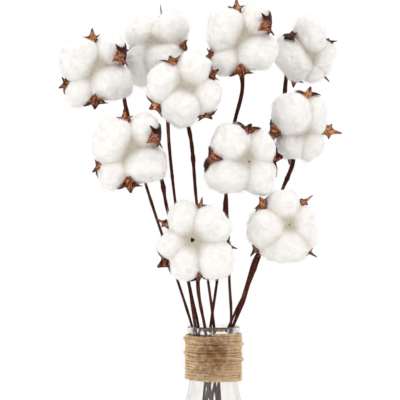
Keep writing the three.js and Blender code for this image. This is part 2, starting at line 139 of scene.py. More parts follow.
BOLLS = [
    Boll(
        "01", 28.8, (-88.7, 5, 391.4), 5, -2,
        leaning_valves(96, 31, -155), LEANING_LOCKS, (),
        (26, 1.6), (-6.4, 1.5), (-16.2, 2),
        ((-27.2, 4.5, 234.5), (-51.7, 15, 308), (-66.5, 28, 364), (-72, 40, 381)),
    ),
    Boll(
        "02", 27.5, (-41, 35, 409), -18, 16,
        ((91, 1.13, 0.3, 0, 0.6, 0.3), (3, 0.9, 0.5, 0.4, 0.9, 0.35),
         (-95, 0.85, 0.7, -0.1, 1, 0.3), (-178, 0.88, 0.6, -0.05, 1, 0.4)),
        (
            (0.31, 0.58, 0.55, 0.52, 60, 0.02), (0.2, -0.34, 0.65, 0.52, 0, 0.03),
            (-0.5, -0.51, 0.63, 0.42, 95, -0.02), (-0.52, 0.47, 0.52, 0.46, 70, -0.02),
        ),
        (),
        (20, 7.2), (-5.5, 7.2), (-11.5, 7.6),
        ((-19, 14, 234.5), (-30, 33, 300), (-35, 52, 365)),
    ),
    Boll(
        "03", 28.5, (-21.9, -25, 376), 4, 0,
        ((114, 0.82, 1.05, 0.3, 1.5, 0.5), (28, 0.88, 0.9, 0.2, 1, 0.3),
         (-49, 0.92, 1, 0.1, 1, 0.2), (-150, 0.93, 1.2, 0.05, 0.5, 0.95)),
        (
            (-0.6, 0.18, 0.57, 0.42, 68, 0), (0.23, 0.47, 0.55, 0.47, 78, 0.02),
            (0.58, -0.19, 0.52, 0.43, 70, -0.02), (-0.08, -0.49, 0.55, 0.52, 60, 0.12),
        ),
        (),
        (12, -10.4), (3.4, -10.4), (0.3, -10.3),
        ((-4.2, -9.5, 234.5), (-12.6, -7, 292), (-17, -1, 340)),
    ),
    Boll(
        "04", 28.8, (20.3, 5, 413.8), 5, -2,
        leaning_valves(98, 32, -153), LEANING_LOCKS, (),
        (-20, 13), (-5.8, 13), (-2, 13.2),
        ((2.9, 15.5, 234.5), (8.5, 20, 290), (15.5, 27, 350), (22.5, 36, 383)),
    ),
    Boll(
        "05", 26, (68.8, 38, 408), 12, -18,
        ((131, 0.7, 0.75, 0.6, 0.8, 0.3), (24, 0.93, 0.45, 0, 1, 0.2),
         (-45, 1.03, 0.5, 0, 1, 0.2), (-104, 0.92, 1, 0, 1, 0.3)),
        (
            (-0.37, -0.14, 0.74, 0.53, -48, 0.12), (0.19, 0.57, 0.63, 0.49, 100, 0),
            (0.58, -0.1, 0.53, 0.4, 80, -0.06), (0.3, -0.55, 0.4, 0.35, 0, -0.02),
        ),
        (),
        (-24, 10), (-1.8, 10.1), (12.2, 10.2),
        ((28.5, 17, 234.5), (41, 29, 267), (53.5, 38, 303), (62, 47, 330), (56, 61, 376)),
    ),
    Boll(
        "06", 29, (-62.2, -30, 329.3), 5, -2,
        leaning_valves(97, 31, -154), LEANING_LOCKS, (),
        (20, -7.4), (-4.4, -7.4), (-13.6, -7),
        ((-19.2, -6.5, 234.5), (-34.5, -3, 287), (-43, 1.5, 318)),
    ),
    Boll(
        "07", 28.2, (18.7, -25, 325.8), 16, -8,
        ((181, 0.97, 1.2, 0.4, 2.4, 0.15), (81, 0.85, 1.2, 0.35, 2, 0.1),
         (3, 0.95, 1.8, 0.15, 0.6, 0), (-88, 0.7, 0.7, -0.15, 1, 0.2)),
        (
            (-0.3, 0.41, 0.57, 0.54, 60, 0.03), (0.5, 0.3, 0.54, 0.45, -60, -0.05),
            (0.52, -0.47, 0.54, 0.5, 70, 0), (-0.38, -0.45, 0.66, 0.5, -8, 0.05),
        ),
        (0.13, -0.05, 0.5, 1.3),
        (-8, -4.6), (4.6, -4.6), (12.8, -4.6),
        ((11.8, -4, 234.5), (10.6, -2, 270), (9.6, 0, 292)),
    ),
    Boll(
        "08", 26, (64, 12, 350), 10, -12,
        ((188, 0.93, 1.15, 0.35, 2.6, 0.3), (80, 1.12, 1.3, 0.3, 1, 0.85),
         (-8, 1.12, 0.8, 0, 0.6, 0.7), (-106, 0.98, 0.8, 0, 1, 0.3)),
        (
            (-0.25, 0.41, 0.71, 0.64, -78, 0.12), (0.42, 0.36, 0.69, 0.41, -85, -0.06),
            (0.35, -0.56, 0.5, 0.41, 60, -0.02), (-0.26, -0.56, 0.45, 0.4, 0, 0.06),
        ),
        (),
        (-20, 4.4), (2.4, 4.4), (15, 2.8),
        ((22.4, 6.2, 217), (28.8, 11, 238), (32.5, 14.5, 250), (53.2, 27, 303.6), (61.5, 33, 325)),
    ),
    Boll(
        "09", 29, (-13.3, -45, 264.5), -3, 2,
        ((150, 1.03, 0.4, 0, 1, 0.4), (82, 0.98, 0.55, 0.1, 1, 0.5),
         (-8, 0.95, 0.45, 0, 1, 0.1), (-83, 0.9, 0.85, 0.15, 1.3, 0.25),
         (-144, 1, 1.3, 0.1, 0.5, 0)),
        (
            (-0.29, 0.56, 0.54, 0.42, -85, 0), (0.41, 0.39, 0.56, 0.47, -50, 0.03),
            (0.54, -0.5, 0.53, 0.47, 90, 0.03), (-0.24, -0.52, 0.53, 0.43, 80, 0.04),
            (-0.55, -0.12, 0.43, 0.41, -20, 0),
        ),
        (-0.05, 0.03, 0.5, 2.4),
        (16, -13.2), (0.2, -13.2), (-6.5, -13.2),
        ((-11.5, -14, 228),),
    ),
    Boll(
        "10", 28.5, (50.5, -20, 274), 10, 4,
        ((129, 0.9, 0.95, 0.15, 0.6, 0.95), (50, 0.98, 0.45, 0.1, 1, 0.6),
         (-43, 1.03, 0.5, 0, 1, 0.3), (-143, 1.04, 0.55, 0, 1.3, 0.15)),
        (
            (-0.45, -0.06, 0.58, 0.55, 0, 0.08), (0.03, 0.56, 0.48, 0.45, 90, 0.02),
            (0.5, -0.05, 0.65, 0.4, -82, -0.02), (0.03, -0.5, 0.7, 0.47, -4, 0.05),
        ),
        (0.1, 0.05, 0.52, 0.9),
        (-24, -1.6), (-1, -1.6), (14.6, -1.6),
        ((25.3, -0.5, 232), (31.3, 3, 250)),
    ),
]

# ---- finer forms, in millimetres ----

BALL_STEPS = 50  # along each side of the cube that a boll's ball is blown up from
FULLNESS = 2.5  # power of a lock's outline in the face: 2 would be an ellipse
SOFTNESS = 18  # power that rounds the creases between locks: lower is rounder
HEART = 0.48  # the locks are grown together this far from a boll's middle, in radii
MEETING = 0.8  # share of a lock's half size at which it passes the axis: lower meets higher
MOST_STRETCH = 1.9
FARTHEST = 1.8  # from a boll's middle that any lock reaches, in radii
TRIES, HALVINGS = 46, 16  # to find how far a lock reaches
COTTON_LUMPS = ((0.55, 17), (0.3, 7.5), (0.13, 3.4))  # (height, length)
LINT_PER_BOLL = 2100
LINT_WIDTH = 0.05  # from its middle; a real fibre is 0.02 across and would not show
LINT_LENGTH = (2.5, 7.5)
LINT_LOOPS = 0.6  # share of the fibres that lie down again
LINT_LIFT = 1.7  # at most
LINT_ROOT = 0.15  # below the surface

VALVE_ROWS = 46
VALVE_COLUMNS = 13
VALVE_CLEARANCE = 1.25  # between a valve and the cotton
VALVE_WRINKLES = ((0.07, 2.6), (0.12, 6))  # (height, length)
STEP_OUT = 0.25  # by which a valve walks out of the cotton,
MOST_STEPS = 90  # this many times at most,
LEAN_OUT = 0.25  # leaning this much away from the axis
WING = (0.6, 0.09)  # share of the way to the tip where a valve's wings are, and their breadth
WING_CURL = 0.07  # lift of their points, in radii
CUP_SIDES = 30
CORE_ROWS, CORE_SIDES = 24, 12

VASE_SIDES = 128

TWIG_SIDES = 12
TWIG_ROWS = 150
RIBS, RIB_HEIGHT = 5, 0.05  # on twigs and cups, as a share of their radius
KNOT_SPACING = (30, 64)  # along a twig, above the vase
MOST_KNOTS = 12
KNOT_LENGTH, KNOT_SWELL = 1.8, 0.35  # the swelling is a share of the radius
BARE_END = 14  # no knot stands this near to the burr
BUD_RADIUS = 0.8
BUD_LENGTH = (1.2, 2.2)

TWINE_SPREAD = 1.34  # the soft twine swells out against its neighbours
LAYER_STEP = 1.5  # the second layer presses into the valleys of the first
TWINE_TWIST = 4.5  # length along the twine in which its three plies go round once
TWINE_ROWS_PER_TWIST = 8
TWINE_TRACE = 9000  # points on which its length is measured
TWINE_WANDER = (0.13, 0.7)  # up and down the neck: (height, length in turns)
TWINE_LIFT = (0.2, 0.5)  # away from the neck, likewise
TWINE_SWELL = (0.07, 14)  # (share of its radius, length)
PLY_CORNERS = (-60, -28, 0, 28)  # in degrees; the first is in the groove between two plies,
GROOVE_RADIUS = 0.42  # this share of the radius out
HAIRS_ON_TWINE = 3400
HAIR_LENGTH = (2.5, 8)
HAIR_WIDTH = 0.045
HAIR_RISE = 1.9  # at most
HAIR_ROOT = 0.42  # from the twine's middle, in diameters


# ---- fields and curves ----


def unit(vectors):
    """Vectors scaled to length 1."""
    return vectors / np.linalg.norm(vectors, axis=-1, keepdims=True)


def ease(value, low=0.0, high=1.0):
    """0 below low, 1 above high, and 3x^2 - 2x^3 of the share between them."""
    share = np.clip((value - low) / (high - low), 0, 1)
    return share * share * (3 - 2 * share)


def waves(points, length, seed, count=28):
    """A smooth random field with a spread of about 1: the sum of plane sine waves that run in
    seeded directions, each about one length long, over the square root of half their number."""
    draw = np.random.default_rng(seed)
    ways = unit(draw.normal(size=(count, 3))) / (length * draw.uniform(0.7, 1.4, (count, 1)))
    starts = draw.uniform(0, 2 * math.pi, count)
    return np.sin(2 * math.pi * points @ ways.T + starts).sum(-1) / math.sqrt(count / 2)


def waves_along(places, length, seed):
    """The same field at places along a line."""
    return waves(places[:, None] * (1, 0, 0), length, seed)


def lumps(points, sizes, seed):
    """Sum of such fields of several sizes, each (height, length), with a seed for each."""
    return sum(
        height * waves(points, length, seed + i) for i, (height, length) in enumerate(sizes)
    )


def curve_through(points, steps):
    """Centripetal Catmull-Rom curve through points, at even steps of its length: cubics whose end
    slopes come from the points beside them, with the square root of its length as each span's
    time. The curve's ends run straight on."""
    points = np.asarray(points, float)
    ends = (2 * points[0] - points[1], 2 * points[-1] - points[-2])
    points = np.vstack([ends[0], points, ends[1]])
    before, start, end, after = points[:-3], points[1:-2], points[2:-1], points[3:]
    time_0, time_1, time_2 = (
        np.sqrt(np.linalg.norm(b - a, axis=1, keepdims=True))
        for a, b in ((before, start), (start, end), (end, after))
    )
    slope_in = (start - before) / time_0 - (end - before) / (time_0 + time_1)
    slope_in = (slope_in + (end - start) / time_1) * time_1
    slope_out = (end - start) / time_1 - (after - start) / (time_1 + time_2)
    slope_out = (slope_out + (after - end) / time_2) * time_1
    share = np.linspace(0, 1, 60, endpoint=False)[None, :, None]
    square, cube = share**2, share**3
    fine = (
        (2 * cube - 3 * square + 1) * start[:, None]
        + (cube - 2 * square + share) * slope_in[:, None]
        + (3 * square - 2 * cube) * end[:, None]
        + (cube - square) * slope_out[:, None]
    )
    fine = np.vstack([fine.reshape(-1, points.shape[1]), points[-2]])
    return evenly(fine, steps)


def lengths(line):
    """How far along a line each of its points is."""
    return np.concatenate([[0], np.cumsum(np.linalg.norm(np.diff(line, axis=0), axis=1))])


def evenly(line, steps):
    """The same line at even steps of its length."""
    length = lengths(line)
    wanted = np.linspace(0, length[-1], steps)
    return np.stack([np.interp(wanted, length, axis) for axis in line.T], axis=1)


def rounded(corners, cut, steps=4):
    """Outline with each corner rounded by the parabola that touches both of its sides at cut from
    it, or at half the side if that is nearer."""
    corners = np.asarray(corners, float)
    line = [corners[0]]
    for before, corner, after in zip(corners, corners[1:], corners[2:]):
        back, ahead = before - corner, after - corner
        start = corner + back * min(0.5, cut / np.linalg.norm(back))
        end = corner + ahead * min(0.5, cut / np.linalg.norm(ahead))
        share = np.linspace(0, 1, steps)[:, None]
        line.extend((1 - share) ** 2 * start + 2 * share * (1 - share) * corner + share**2 * end)
    line.append(corners[-1])
    return np.array(line)


def full_turn(sides):
    """The angles of this many corners round a circle."""
    return np.linspace(0, 2 * math.pi, sides, endpoint=False)


def round_z(radius, height, angle):
    """Points at this radius, height and angle round the z axis."""
    sides = [radius * np.cos(angle), radius * np.sin(angle), height * np.ones_like(angle)]
    return np.stack(sides, axis=-1)


def ribbed(angle):
    """Share of its radius that a twig or cup has at an angle: 1 + h cos 5a, five low ribs."""
    return 1 + RIB_HEIGHT * np.cos(RIBS * angle)


# ---- skins ----


class Skin(NamedTuple):
    """Corners in millimetres, arrays of faces, and the values at the corners that the material
    reads, by name."""

    corners: np.ndarray
    faces: tuple
    marks: dict


def outward(corners, faces):
    """Faces turned over if the volume that they enclose, a sixth of the sum of a . (b x c) over
    their triangles, comes out below nothing."""
    volume = 0.0
    for group in faces:
        for second in range(1, group.shape[1] - 1):
            a, b, c = corners[group[:, 0]], corners[group[:, second]], corners[group[:, second + 1]]
            volume += np.einsum("ij,ij->", a, np.cross(b, c))
    return tuple(group[:, ::-1] for group in faces) if volume < 0 else faces


def bar_faces(number, first, last):
    """Quads between neighbouring rings of corner numbers [ring, corner], and the triangles that
    close the bar at each end, round the corners numbered first and last."""
    beside = np.roll(number, -1, axis=1)
    quads = np.stack([number[:-1], beside[:-1], beside[1:], number[1:]], axis=-1).reshape(-1, 4)
    sides = number.shape[1]
    caps = np.concatenate([
        np.stack([np.full(sides, first), beside[0], number[0]], axis=1),
        np.stack([np.full(sides, last), number[-1], beside[-1]], axis=1),
    ])
    return quads, caps


def closed(grid, **marks):
    """Skin of a grid of corners [row, column, xyz] that goes round its columns. A corner in the
    middle of each end ring closes it."""
    rows, columns = grid.shape[:2]
    size = rows * columns
    faces = bar_faces(np.arange(size).reshape(rows, columns), size, size + 1)
    corners = np.vstack([grid.reshape(-1, 3), grid[0].mean(0), grid[-1].mean(0)])
    values = {
        name: np.concatenate([value.ravel(), [value[0].mean(), value[-1].mean()]])
        for name, value in ((n, np.broadcast_to(v, (rows, columns))) for n, v in marks.items())
    }
    return Skin(corners, outward(corners, faces), values)


def frames_along(line, side):
    """At each point of a line its direction, the part of side that is square to it, and the third
    direction."""
    way = unit(np.gradient(line, axis=0))
    first = unit(side - (side * way).sum(-1, keepdims=True) * way)
    return way, first, np.cross(way, first)


def tube(line, radius, side, **marks):
    """Round bar: a ring of corners at these radii [row, column] across each point of a line. The
    first corner is on the part of side that is square to the line."""
    _, right, front = frames_along(line, side)
    angle = full_turn(radius.shape[1])[None, :, None]
    ring = np.cos(angle) * right[:, None] + np.sin(angle) * front[:, None]
    return closed(line[:, None] + radius[..., None] * ring, **marks)


def hairs(lines, width, **marks):
    """Skin of many fine hairs along lines [hair, step, xyz]. A hair is a three-sided bar, width
    from its middle to its corners, that runs to a point at both ends."""
    count, steps = lines.shape[:2]
    inner = lines[:, 1:-1]
    way = unit(lines[:, 2:] - lines[:, :-2])
    side = unit(np.cross(way, np.array([0.31, 0.55, 0.77])))  # any line but the hair's will do
    third = np.cross(way, side)
    angle = np.arange(3) * 2 * math.pi / 3
    ring = np.cos(angle)[:, None] * side[:, :, None] + np.sin(angle)[:, None] * third[:, :, None]
    rings = (inner[:, :, None] + width * ring).reshape(count, -1, 3)
    corners = np.concatenate([lines[:, :1], rings, lines[:, -1:]], axis=1)
    number = 1 + np.arange((steps - 2) * 3).reshape(-1, 3)
    start = (np.arange(count) * corners.shape[1])[:, None, None]
    faces = tuple(
        (start + group).reshape(-1, group.shape[1])
        for group in bar_faces(number, 0, corners.shape[1] - 1)
    )
    size = corners.shape[0] * corners.shape[1]
    values = {name: np.full(size, float(value)) for name, value in marks.items()}
    return Skin(corners.reshape(-1, 3), faces, values)


def ball(steps):
    """Unit directions and quads of a cube blown up to a sphere. Each side of the cube is a grid
    whose lines stand at even angles from its middle, and corners that sides share are made one."""
    spread = np.tan(np.linspace(-math.pi / 4, math.pi / 4, steps + 1))
    across, along = np.meshgrid(spread, spread, indexing="ij")
    number = np.arange(across.size).reshape(across.shape)
    quads = np.stack(
        [number[:-1, :-1], number[1:, :-1], number[1:, 1:], number[:-1, 1:]], axis=-1
    )
    sides, faces = [], []
    for axis in range(3):
        for sign in (-1, 1):
            flat = [across * sign, along, np.full_like(across, sign)]
            sides.append(np.stack(flat[-axis:] + flat[:-axis], axis=-1).reshape(-1, 3))
            faces.append(quads.reshape(-1, 4) + len(faces) * across.size)
    directions = unit(np.vstack(sides))
    _, kept, place = np.unique(
        directions.round(6), axis=0, return_index=True, return_inverse=True
    )
    return directions[kept], place.ravel()[np.vstack(faces)]


def moved(skin, frame_of_boll):
    """A skin out of a boll's own frame, given as its three axes in rows and its middle."""
    axes, middle = frame_of_boll
    return skin._replace(corners=skin.corners @ axes + middle)


def stood(name, data):
    """A new object of this data, in the scene."""
    made = bpy.data.objects.new(name, data)
    bpy.context.scene.collection.objects.link(made)
    return made


def piece(name, skins, material, slot, *nodes):
    """One smooth object of several skins, in metres, on the body root, in the place of nodes."""
    corners = np.concatenate([skin.corners for skin in skins]) * MM
    starts = np.cumsum([0] + [len(skin.corners) for skin in skins])
    groups = [group + start for skin, start in zip(skins, starts) for group in skin.faces]
    mesh = bpy.data.meshes.new(name)
    mesh.from_pydata(corners.tolist(), [], [face for group in groups for face in group.tolist()])
    mesh.shade_smooth()
    for key in sorted({key for skin in skins for key in skin.marks}):
        values = [skin.marks.get(key, np.zeros(len(skin.corners))) for skin in skins]
        layer = mesh.attributes.new(key, "FLOAT", "POINT")
        layer.data.foreach_set("value", np.concatenate(values).astype(np.float32))
    mesh.validate()
    mesh.materials.append(material)
    made = stood(name, mesh)
    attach(made, "root")
    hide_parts(*nodes)


# ---- finishes ----


def linear(hex_colour):
    """An sRGB hex colour as linear red, green, blue and full alpha: below 0.04045 the value over
    12.92, and above it ((value + 0.055) / 1.055) to the power of 2.4."""
    values = [int(hex_colour[i : i + 2], 16) / 255 for i in (1, 3, 5)]
    return (*(v / 12.92 if v <= 0.04045 else ((v + 0.055) / 1.055) ** 2.4 for v in values), 1)


def add(tree, kind, inputs=None, out=0, stops=(), **settings):
    """Adds a node and gives one of its outputs. Its settings go by name and a colour ramp's stops
    as (position, hex colour). An input, by name or number, gets a value or a link."""
    node = tree.nodes.new("ShaderNode" + kind)
    for name, value in settings.items():
        setattr(node, name, value)
    for name, value in (inputs or {}).items():
        if isinstance(value, bpy.types.NodeSocket):
            tree.links.new(value, node.inputs[name])
        else:
            node.inputs[name].default_value = value
    for _ in stops[2:]:
        node.color_ramp.elements.new(1)
    for number, (position, colour) in enumerate(stops):
        node.color_ramp.elements[number].position = position
        node.color_ramp.elements[number].color = linear(colour)
    return node.outputs[out]


def finish_of(name, surface):
    """A new material whose surface shader has these values on its sockets, its node tree, that
    shader, and the place of a point in Object coordinates."""
    material = bpy.data.materials.new(name)
    material.use_nodes = True
    tree = material.node_tree
    shader = tree.nodes["Principled BSDF"]
    for socket, value in surface.items():
        shader.inputs[socket].default_value = value
    return material, tree, shader, add(tree, "TexCoord", out="Object")


def dress(tree, shader, colour, normal):
    """Gives the surface shader its colour and its normal."""
    tree.links.new(colour, shader.inputs["Base Color"])
    tree.links.new(normal, shader.inputs["Normal"])


def per_mm(size):
    """Scale of a pattern whose cells are size mm wide, on coordinates in metres."""
    return 1 / (size * MM)


def cotton_lint():
    """Raw cotton lint, picked dry: a loose felt of fine white fibres. It gives no gloss, and lets
    light in a little way so that its edges glow. A warm grey shade is painted into its creases and
    into the pit between its locks."""
    material, tree, shader, place = finish_of("cotton_lint", {
        "Roughness": 1.0, "Specular IOR Level": 0.1, "Subsurface Weight": 0.35,
        "Subsurface Radius": (1.0, 0.95, 0.88), "Subsurface Scale": 2.5 * MM,
        "Sheen Weight": 0.35, "Sheen Roughness": 0.6,
    })
    crease = add(tree, "Attribute", out="Fac", attribute_name="crease")
    # tufts 5 mm wide, with a grey shade painted into their hollows, where the same noise sinks the
    # bump
    tufts = add(tree, "TexNoise", {
        "Vector": place, "Scale": per_mm(5), "Detail": 5, "Roughness": 0.62, "Distortion": 1.2,
    })
    body = add(tree, "ValToRGB", {"Fac": tufts}, stops=((0.3, "#F0EEEB"), (0.62, "#FDFCFB")))
    # painted shade: the colour goes over to a warm grey in the creases and the pit between the
    # locks, as far as the crease mark says
    colour = add(tree, "Mix", {0: crease, 6: body, 7: linear("#C4BCAC")}, 2, data_type="RGBA")
    # matted fibres: noise folded on itself, 1.3 mm wide, as a real fibre of 0.02 mm would not show
    matted = add(tree, "TexNoise", {
        "Vector": place, "Scale": per_mm(1.3), "Detail": 8, "Roughness": 0.7, "Distortion": 3.5,
    })
    low = add(tree, "Bump", {"Height": tufts, "Strength": 0.5, "Distance": 1.2 * MM})
    high = add(
        tree, "Bump", {"Height": matted, "Strength": 0.6, "Distance": 0.5 * MM, "Normal": low}
    )
    dress(tree, shader, colour, high)
    return material


def dry_husk():
    """The dry woody husk of a boll: satin and tan to dull red inside, where the cotton lay on it,
    dark red-brown and wrinkled outside, and nearly black at its edges and points."""
    material, tree, shader, place = finish_of(
        "dry_husk", {"Roughness": 0.6, "IOR": 1.5, "Specular IOR Level": 0.12}
    )
    inner, dark, tone = (
        add(tree, "Attribute", out="Fac", attribute_name=name) for name in ("inner", "edge", "tone")
    )
    # blotches 2.5 mm wide, on both faces
    blotch = add(
        tree, "TexNoise", {"Vector": place, "Scale": per_mm(2.5), "Detail": 6, "Roughness": 0.65}
    )
    fresh, dull, outside = (
        add(tree, "ValToRGB", {"Fac": blotch}, stops=stops)
        for stops in (
            ((0.4, "#843A1B"), (0.49, "#DB8852"), (0.6, "#FBD0A6")),
            ((0.42, "#1E0704"), (0.5, "#5E1E12"), (0.6, "#C87C58")),
            ((0.42, "#160705"), (0.53, "#3E170E"), (0.66, "#7C3C28")),
        )
    )
    inside = add(tree, "Mix", {0: tone, 6: dull, 7: fresh}, 2, data_type="RGBA")
    both = add(tree, "Mix", {0: inner, 6: outside, 7: inside}, 2, data_type="RGBA")
    colour = add(tree, "Mix", {0: dark, 6: both, 7: linear("#260D09")}, 2, data_type="RGBA")
    # wrinkles a millimetre apart
    wrinkle = add(tree, "TexNoise", {
        "Vector": place, "Scale": per_mm(1.1), "Detail": 5, "Roughness": 0.6, "Distortion": 0.8,
    })
    bump = add(tree, "Bump", {"Height": wrinkle, "Strength": 0.7, "Distance": 0.35 * MM})
    dress(tree, shader, colour, bump)
    return material


def twig_bark():
    """Bark of a dried cotton stalk: thin, dark red-brown, finely furrowed along the stalk, with
    paler worn patches. It gives a dull sheen."""
    material, tree, shader, place = finish_of(
        "twig_bark", {"Roughness": 0.7, "IOR": 1.45, "Specular IOR Level": 0.1}
    )
    # the stalks stand up, so a pattern drawn out along Z runs along them: furrows 0.6 mm apart
    # and 9 mm long
    along = add(tree, "Mapping", {"Vector": place, "Scale": (1, 1, 0.07)})
    furrow = add(
        tree, "TexNoise", {"Vector": along, "Scale": per_mm(0.6), "Detail": 5, "Roughness": 0.65}
    )
    patch = add(tree, "TexNoise", {"Vector": place, "Scale": per_mm(14), "Detail": 4})
    bark, worn = (
        add(tree, "ValToRGB", {"Fac": furrow}, stops=stops)
        for stops in (
            ((0.3, "#1F0D09"), (0.55, "#4A2016"), (0.75, "#7A4029")),
            ((0.3, "#3A190F"), (0.7, "#8A5236")),
        )
    )
    share = add(tree, "MapRange", {"Value": patch, 1: 0.52, 2: 0.72, 4: 0.7})
    colour = add(tree, "Mix", {0: share, 6: bark, 7: worn}, 2, data_type="RGBA")
    bump = add(tree, "Bump", {"Height": furrow, "Strength": 0.7, "Distance": 0.25 * MM})
    dress(tree, shader, colour, bump)
    return material


def bottle_glass():
    """Blown soda-lime bottle glass, fire-polished: clear, with a hard gloss and a surface that
    waves a little, which bends what stands behind it."""
    material, tree, shader, place = finish_of("bottle_glass", {
        "Roughness": 0.0, "IOR": 1.52, "Specular IOR Level": 0.2, "Transmission Weight": 1.0,
    })
    # ripples 18 mm long from the blowing
    ripple = add(tree, "TexNoise", {"Vector": place, "Scale": per_mm(18), "Detail": 1})
    bump = add(tree, "Bump", {"Height": ripple, "Strength": 0.25, "Distance": 0.4 * MM})
    # painted shade: the glass's colour goes grey where it is seen edge on, which draws the dark
    # edge lines of the bottle
    slant = add(tree, "LayerWeight", {"Blend": 0.35}, "Facing")
    stops = ((0.3, "#FCFAF7"), (0.6, "#DAD4CD"), (0.85, "#6B645E"))
    dress(tree, shader, add(tree, "ValToRGB", {"Fac": slant}, stops=stops), bump)
    return material


def jute_twine():
    """Three-ply natural jute twine, spun and unbleached: straw-coloured, matt and hairy, browner
    where retted fibre was spun in, and browner towards the middle of its front and back."""
    material, tree, shader, place = finish_of(
        "jute_twine", {"Roughness": 0.95, "Specular IOR Level": 0.2, "Sheen Weight": 0.05}
    )
    groove, along, around = (
        add(tree, "Attribute", out="Fac", attribute_name=name)
        for name in ("groove", "along", "around")
    )
    # fibres run along the plies: cells 0.2 mm across and 0.8 long, on the mm along and around them
    spun = add(tree, "CombineXYZ", {0: along, 1: around})
    laid = add(tree, "Mapping", {"Vector": spun, "Scale": (0.6, 2.4, 1)})
    fibre = add(tree, "TexNoise", {"Vector": laid, "Scale": 2.0, "Detail": 4, "Roughness": 0.6})
    pale, brown = (
        add(tree, "ValToRGB", {"Fac": fibre}, stops=stops)
        for stops in (
            ((0.34, "#B9844F"), (0.47, "#F5D3A0"), (0.6, "#FFF0D2")),
            ((0.34, "#42200F"), (0.48, "#8E5A34"), (0.62, "#DDB080")),
        )
    )
    # ragged stains 5 mm wide, and the colour browner in an oval in the middle of its front and
    # back, with half axes of 12 and 14 mm, 181 mm up
    stain = add(
        tree, "TexNoise", {"Vector": place, "Scale": per_mm(5), "Detail": 6, "Roughness": 0.75}
    )
    oval = add(tree, "Mapping", {
        "Vector": place, "Location": (0, 0, -12.9), "Scale": (per_mm(12), 0, per_mm(14)),
    })
    beside = add(tree, "VectorMath", {0: oval}, "Value", operation="LENGTH")
    middle_browning = add(tree, "MapRange", {"Value": beside, 1: 0.2, 2: 1.5, 3: 0.19, 4: -0.05})
    worn = add(tree, "Math", {0: stain, 1: middle_browning}, operation="ADD")
    share = add(tree, "MapRange", {"Value": worn, 1: 0.45, 2: 0.68})
    body = add(tree, "Mix", {0: share, 6: pale, 7: brown}, 2, data_type="RGBA")
    # painted shade: the groove between two plies is darkened to a brown
    colour = add(tree, "Mix", {0: groove, 6: body, 7: linear("#6E4326")}, 2, data_type="RGBA")
    bump = add(tree, "Bump", {"Height": fibre, "Strength": 0.8, "Distance": 0.15 * MM})
    dress(tree, shader, colour, bump)
    return material


# ---- the vase ----


def shoulder(steps):
    """Radius and height of the shoulder: r = neck + (body - neck) (1 + cos(pi t)) / 2, with its
    height even in t."""
    share = np.linspace(0, 1, steps)
    radius = NECK_RADIUS + (BODY_RADIUS - NECK_RADIUS) * (1 + np.cos(math.pi * share)) / 2
    return np.stack([radius, BODY_TOP + (NECK_BOTTOM - BODY_TOP) * share], axis=1)


def vase_skin():
    """The bottle: one line, from the middle of the base over the lip to the middle of the inside
    floor, carried round the Z axis."""
    lip_bottom = VASE_HEIGHT - LIP_HEIGHT
    slope = shoulder(26)
    foot = rounded([(3, 0), (BODY_RADIUS, 0), (BODY_RADIUS, BODY_TOP)], 4, 9)
    lip = rounded(
        [
            slope[-1],
            (NECK_RADIUS, lip_bottom - 0.3),
            (LIP_RADIUS, lip_bottom + 0.2),
            (LIP_RADIUS, VASE_HEIGHT),
            (LIP_BORE, VASE_HEIGHT),
            (LIP_BORE - 0.3, lip_bottom + 2),
            slope[-1] - (WALL, 0),
        ],
        1.1, 7,
    )
    bore = BODY_RADIUS - WALL
    inside = rounded([(bore, BODY_TOP), (bore, FLOOR), (3, FLOOR)], 5, 9)
    outline = np.vstack([foot[:-1], slope, lip[1:-1], (slope - (WALL, 0))[::-1], inside[1:]])
    return closed(round_z(outline[:, :1], outline[:, 1:], full_turn(VASE_SIDES)))


# ---- the twine ----


def twine_line(turn):
    """Middle of the twine after this many turns: close turns down the neck, then two steep ones
    back up over them, whose height goes through CROSSINGS. The hand that wound it let it wander."""
    chord = 1 / math.cos(math.pi / TWINE_STEPS_PER_TURN)
    first = (NECK_RADIUS + SEAT_GAP + TWINE_SLACK + TWINE_DIAMETER / 2) * chord
    second = first + LAYER_STEP
    back = np.maximum(0, turn - TWINE_TURNS)
    radius = first + (second - first) * ease(back, 0, CHANGE_OF_LAYER)
    crossing = curve_through(CROSSINGS, 400)
    bottom = TWINE_TOP - TWINE_TURNS * TWINE_PITCH
    climb = bottom + np.interp(back, crossing[:, 0], crossing[:, 1])
    height = np.where(back > 0, climb, TWINE_TOP - turn * TWINE_PITCH)
    wander, turns_long = TWINE_WANDER
    height = height + wander * waves_along(turn, turns_long, 41)
    lift, turns_long = TWINE_LIFT
    radius = radius + lift * np.abs(waves_along(turn, turns_long, 42))
    return round_z(radius, height, -math.pi / 2 + 2 * math.pi * turn)


